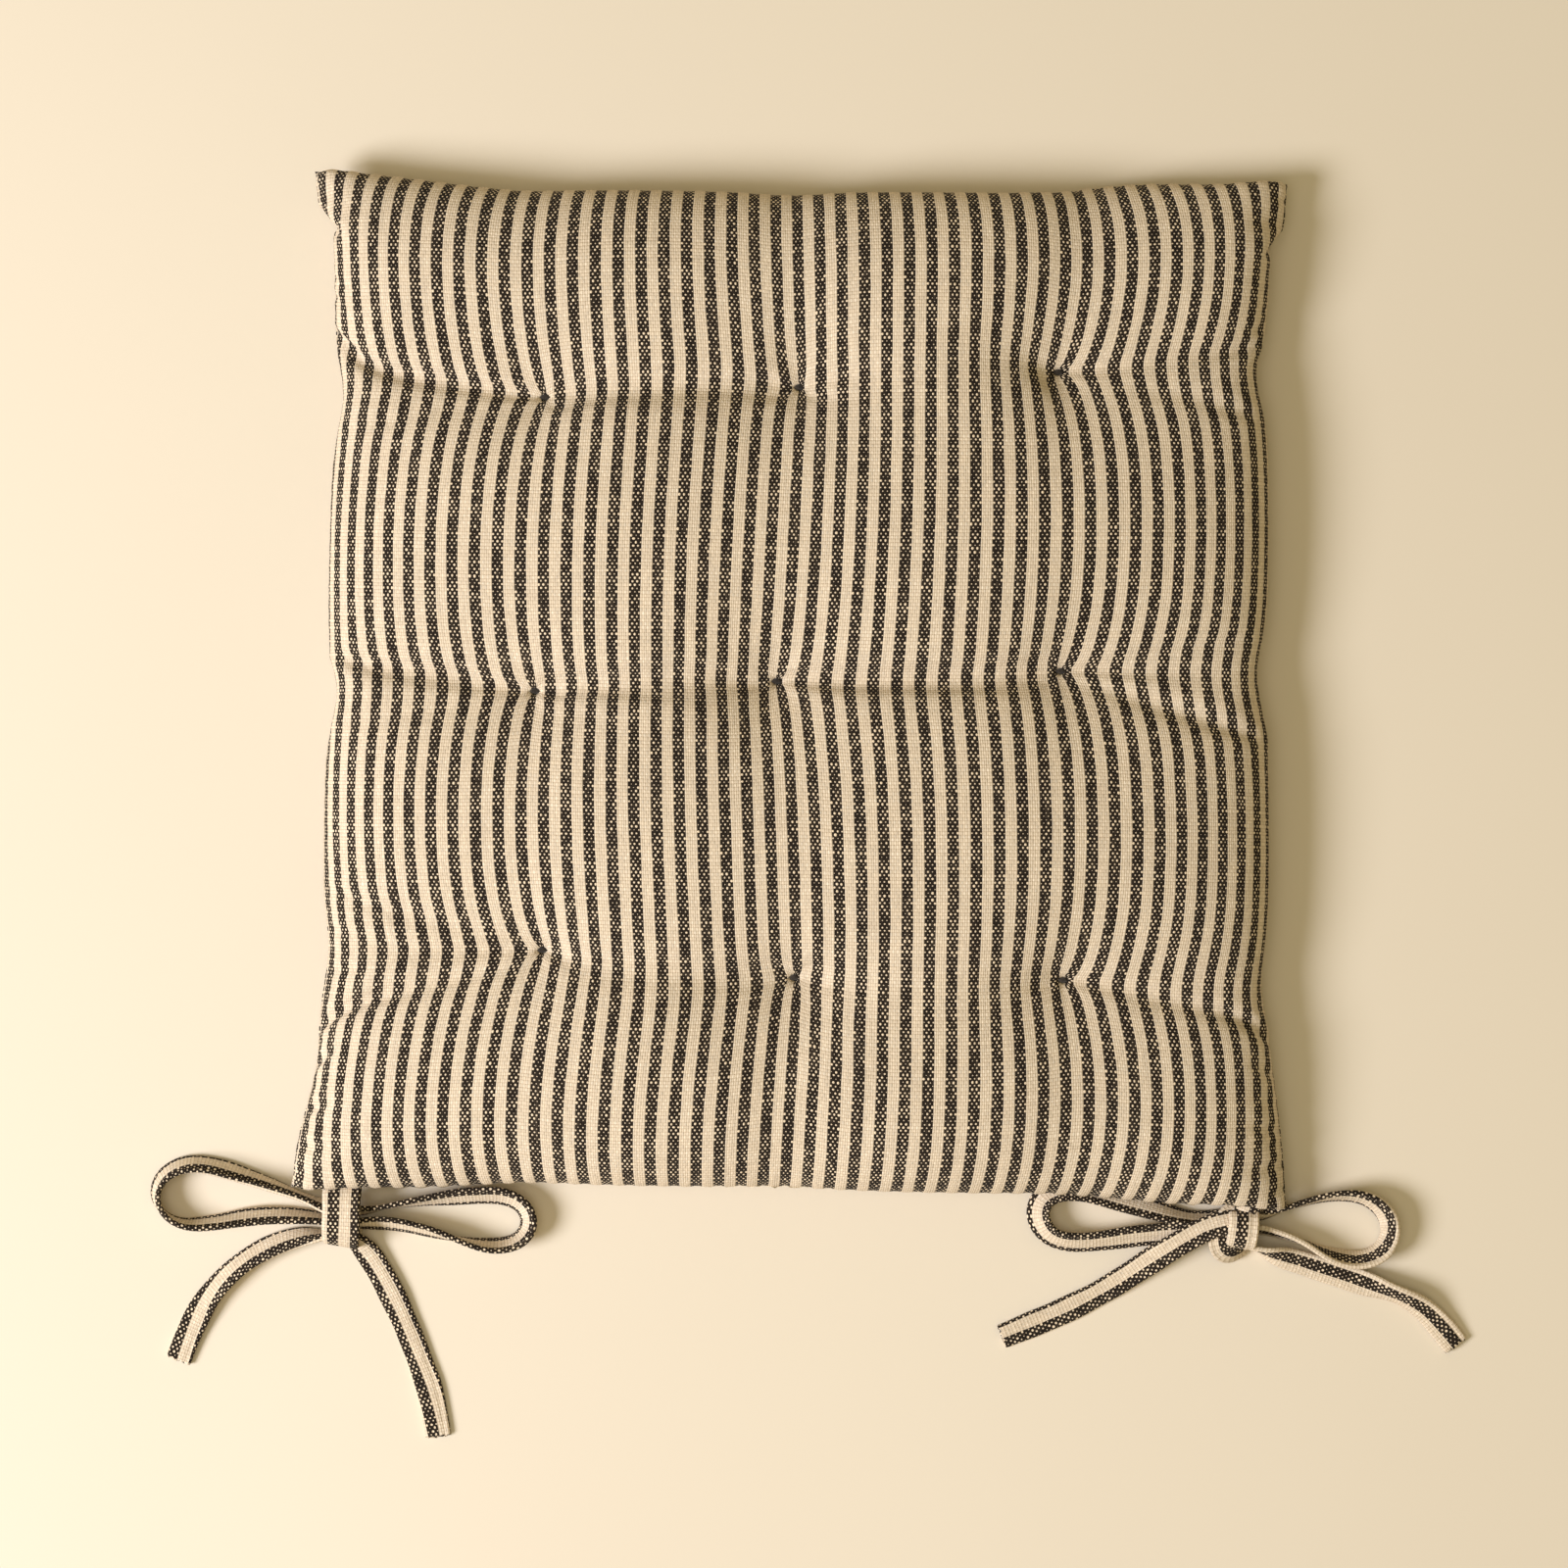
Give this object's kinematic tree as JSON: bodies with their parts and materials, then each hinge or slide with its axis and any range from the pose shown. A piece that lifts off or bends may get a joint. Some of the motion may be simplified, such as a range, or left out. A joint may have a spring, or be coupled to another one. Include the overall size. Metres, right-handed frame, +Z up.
{
  "type": "seat cushion",
  "caption": "Square tufted knife-edge chair pad in striped ticking, with fabric ties tied in bows at its rear corners.",
  "frame": {"origin": "centre of the pad's footprint, on the surface it lies on", "axes": "+Z up, +Y away from the edge with the ties, +X right seen from above with the ties nearest"},
  "size_m": [0.5354, 0.5097, 0.042],
  "materials": {
    "ticking": "matt plain-weave ticking, black and oatmeal stripes",
    "batting": "matt white polyester batting",
    "tufting_twine": "matt twisted twine",
    "sewing_thread": "matt spun thread",
    "tie_ticking": "matt plain-weave ticking, folded and edge-stitched"
  },
  "bodies": {
    "cushion": {"top_panel": "ticking", "bottom_panel": "ticking", "fibre_fill": "batting", "tuft_thread_front_left": "tufting_twine", "tuft_thread_front_middle": "tufting_twine", "tuft_thread_front_right": "tufting_twine", "tuft_thread_middle_left": "tufting_twine", "tuft_thread_middle_middle": "tufting_twine", "tuft_thread_middle_right": "tufting_twine", "tuft_thread_rear_left": "tufting_twine", "tuft_thread_rear_middle": "tufting_twine", "tuft_thread_rear_right": "tufting_twine", "perimeter_seam_thread": "sewing_thread", "closing_stitch_thread": "sewing_thread", "left_tie_tack_thread": "sewing_thread", "right_tie_tack_thread": "sewing_thread", "left_tie_sewn_ends": "tie_ticking", "right_tie_sewn_ends": "tie_ticking"},
    "left_bow": {"left_bow_knot": "tie_ticking", "left_bow_outer_loop": "tie_ticking", "left_bow_inner_loop": "tie_ticking", "left_bow_outer_tail": "tie_ticking", "left_bow_inner_tail": "tie_ticking"},
    "right_bow": {"right_bow_knot": "tie_ticking", "right_bow_outer_loop": "tie_ticking", "right_bow_inner_loop": "tie_ticking", "right_bow_outer_tail": "tie_ticking", "right_bow_inner_tail": "tie_ticking"}
  },
  "joints": [
    {"name": "left_bow_swing", "type": "hinge", "parent": "cushion", "child": "left_bow", "pos_m": [-0.185, -0.2065, 0.014], "axis": [-1, 0, 0], "range_deg": [0, 90]},
    {"name": "right_bow_swing", "type": "hinge", "parent": "cushion", "child": "right_bow", "pos_m": [0.181, -0.2065, 0.014], "axis": [-1, 0, 0], "range_deg": [0, 90]}
  ]
}
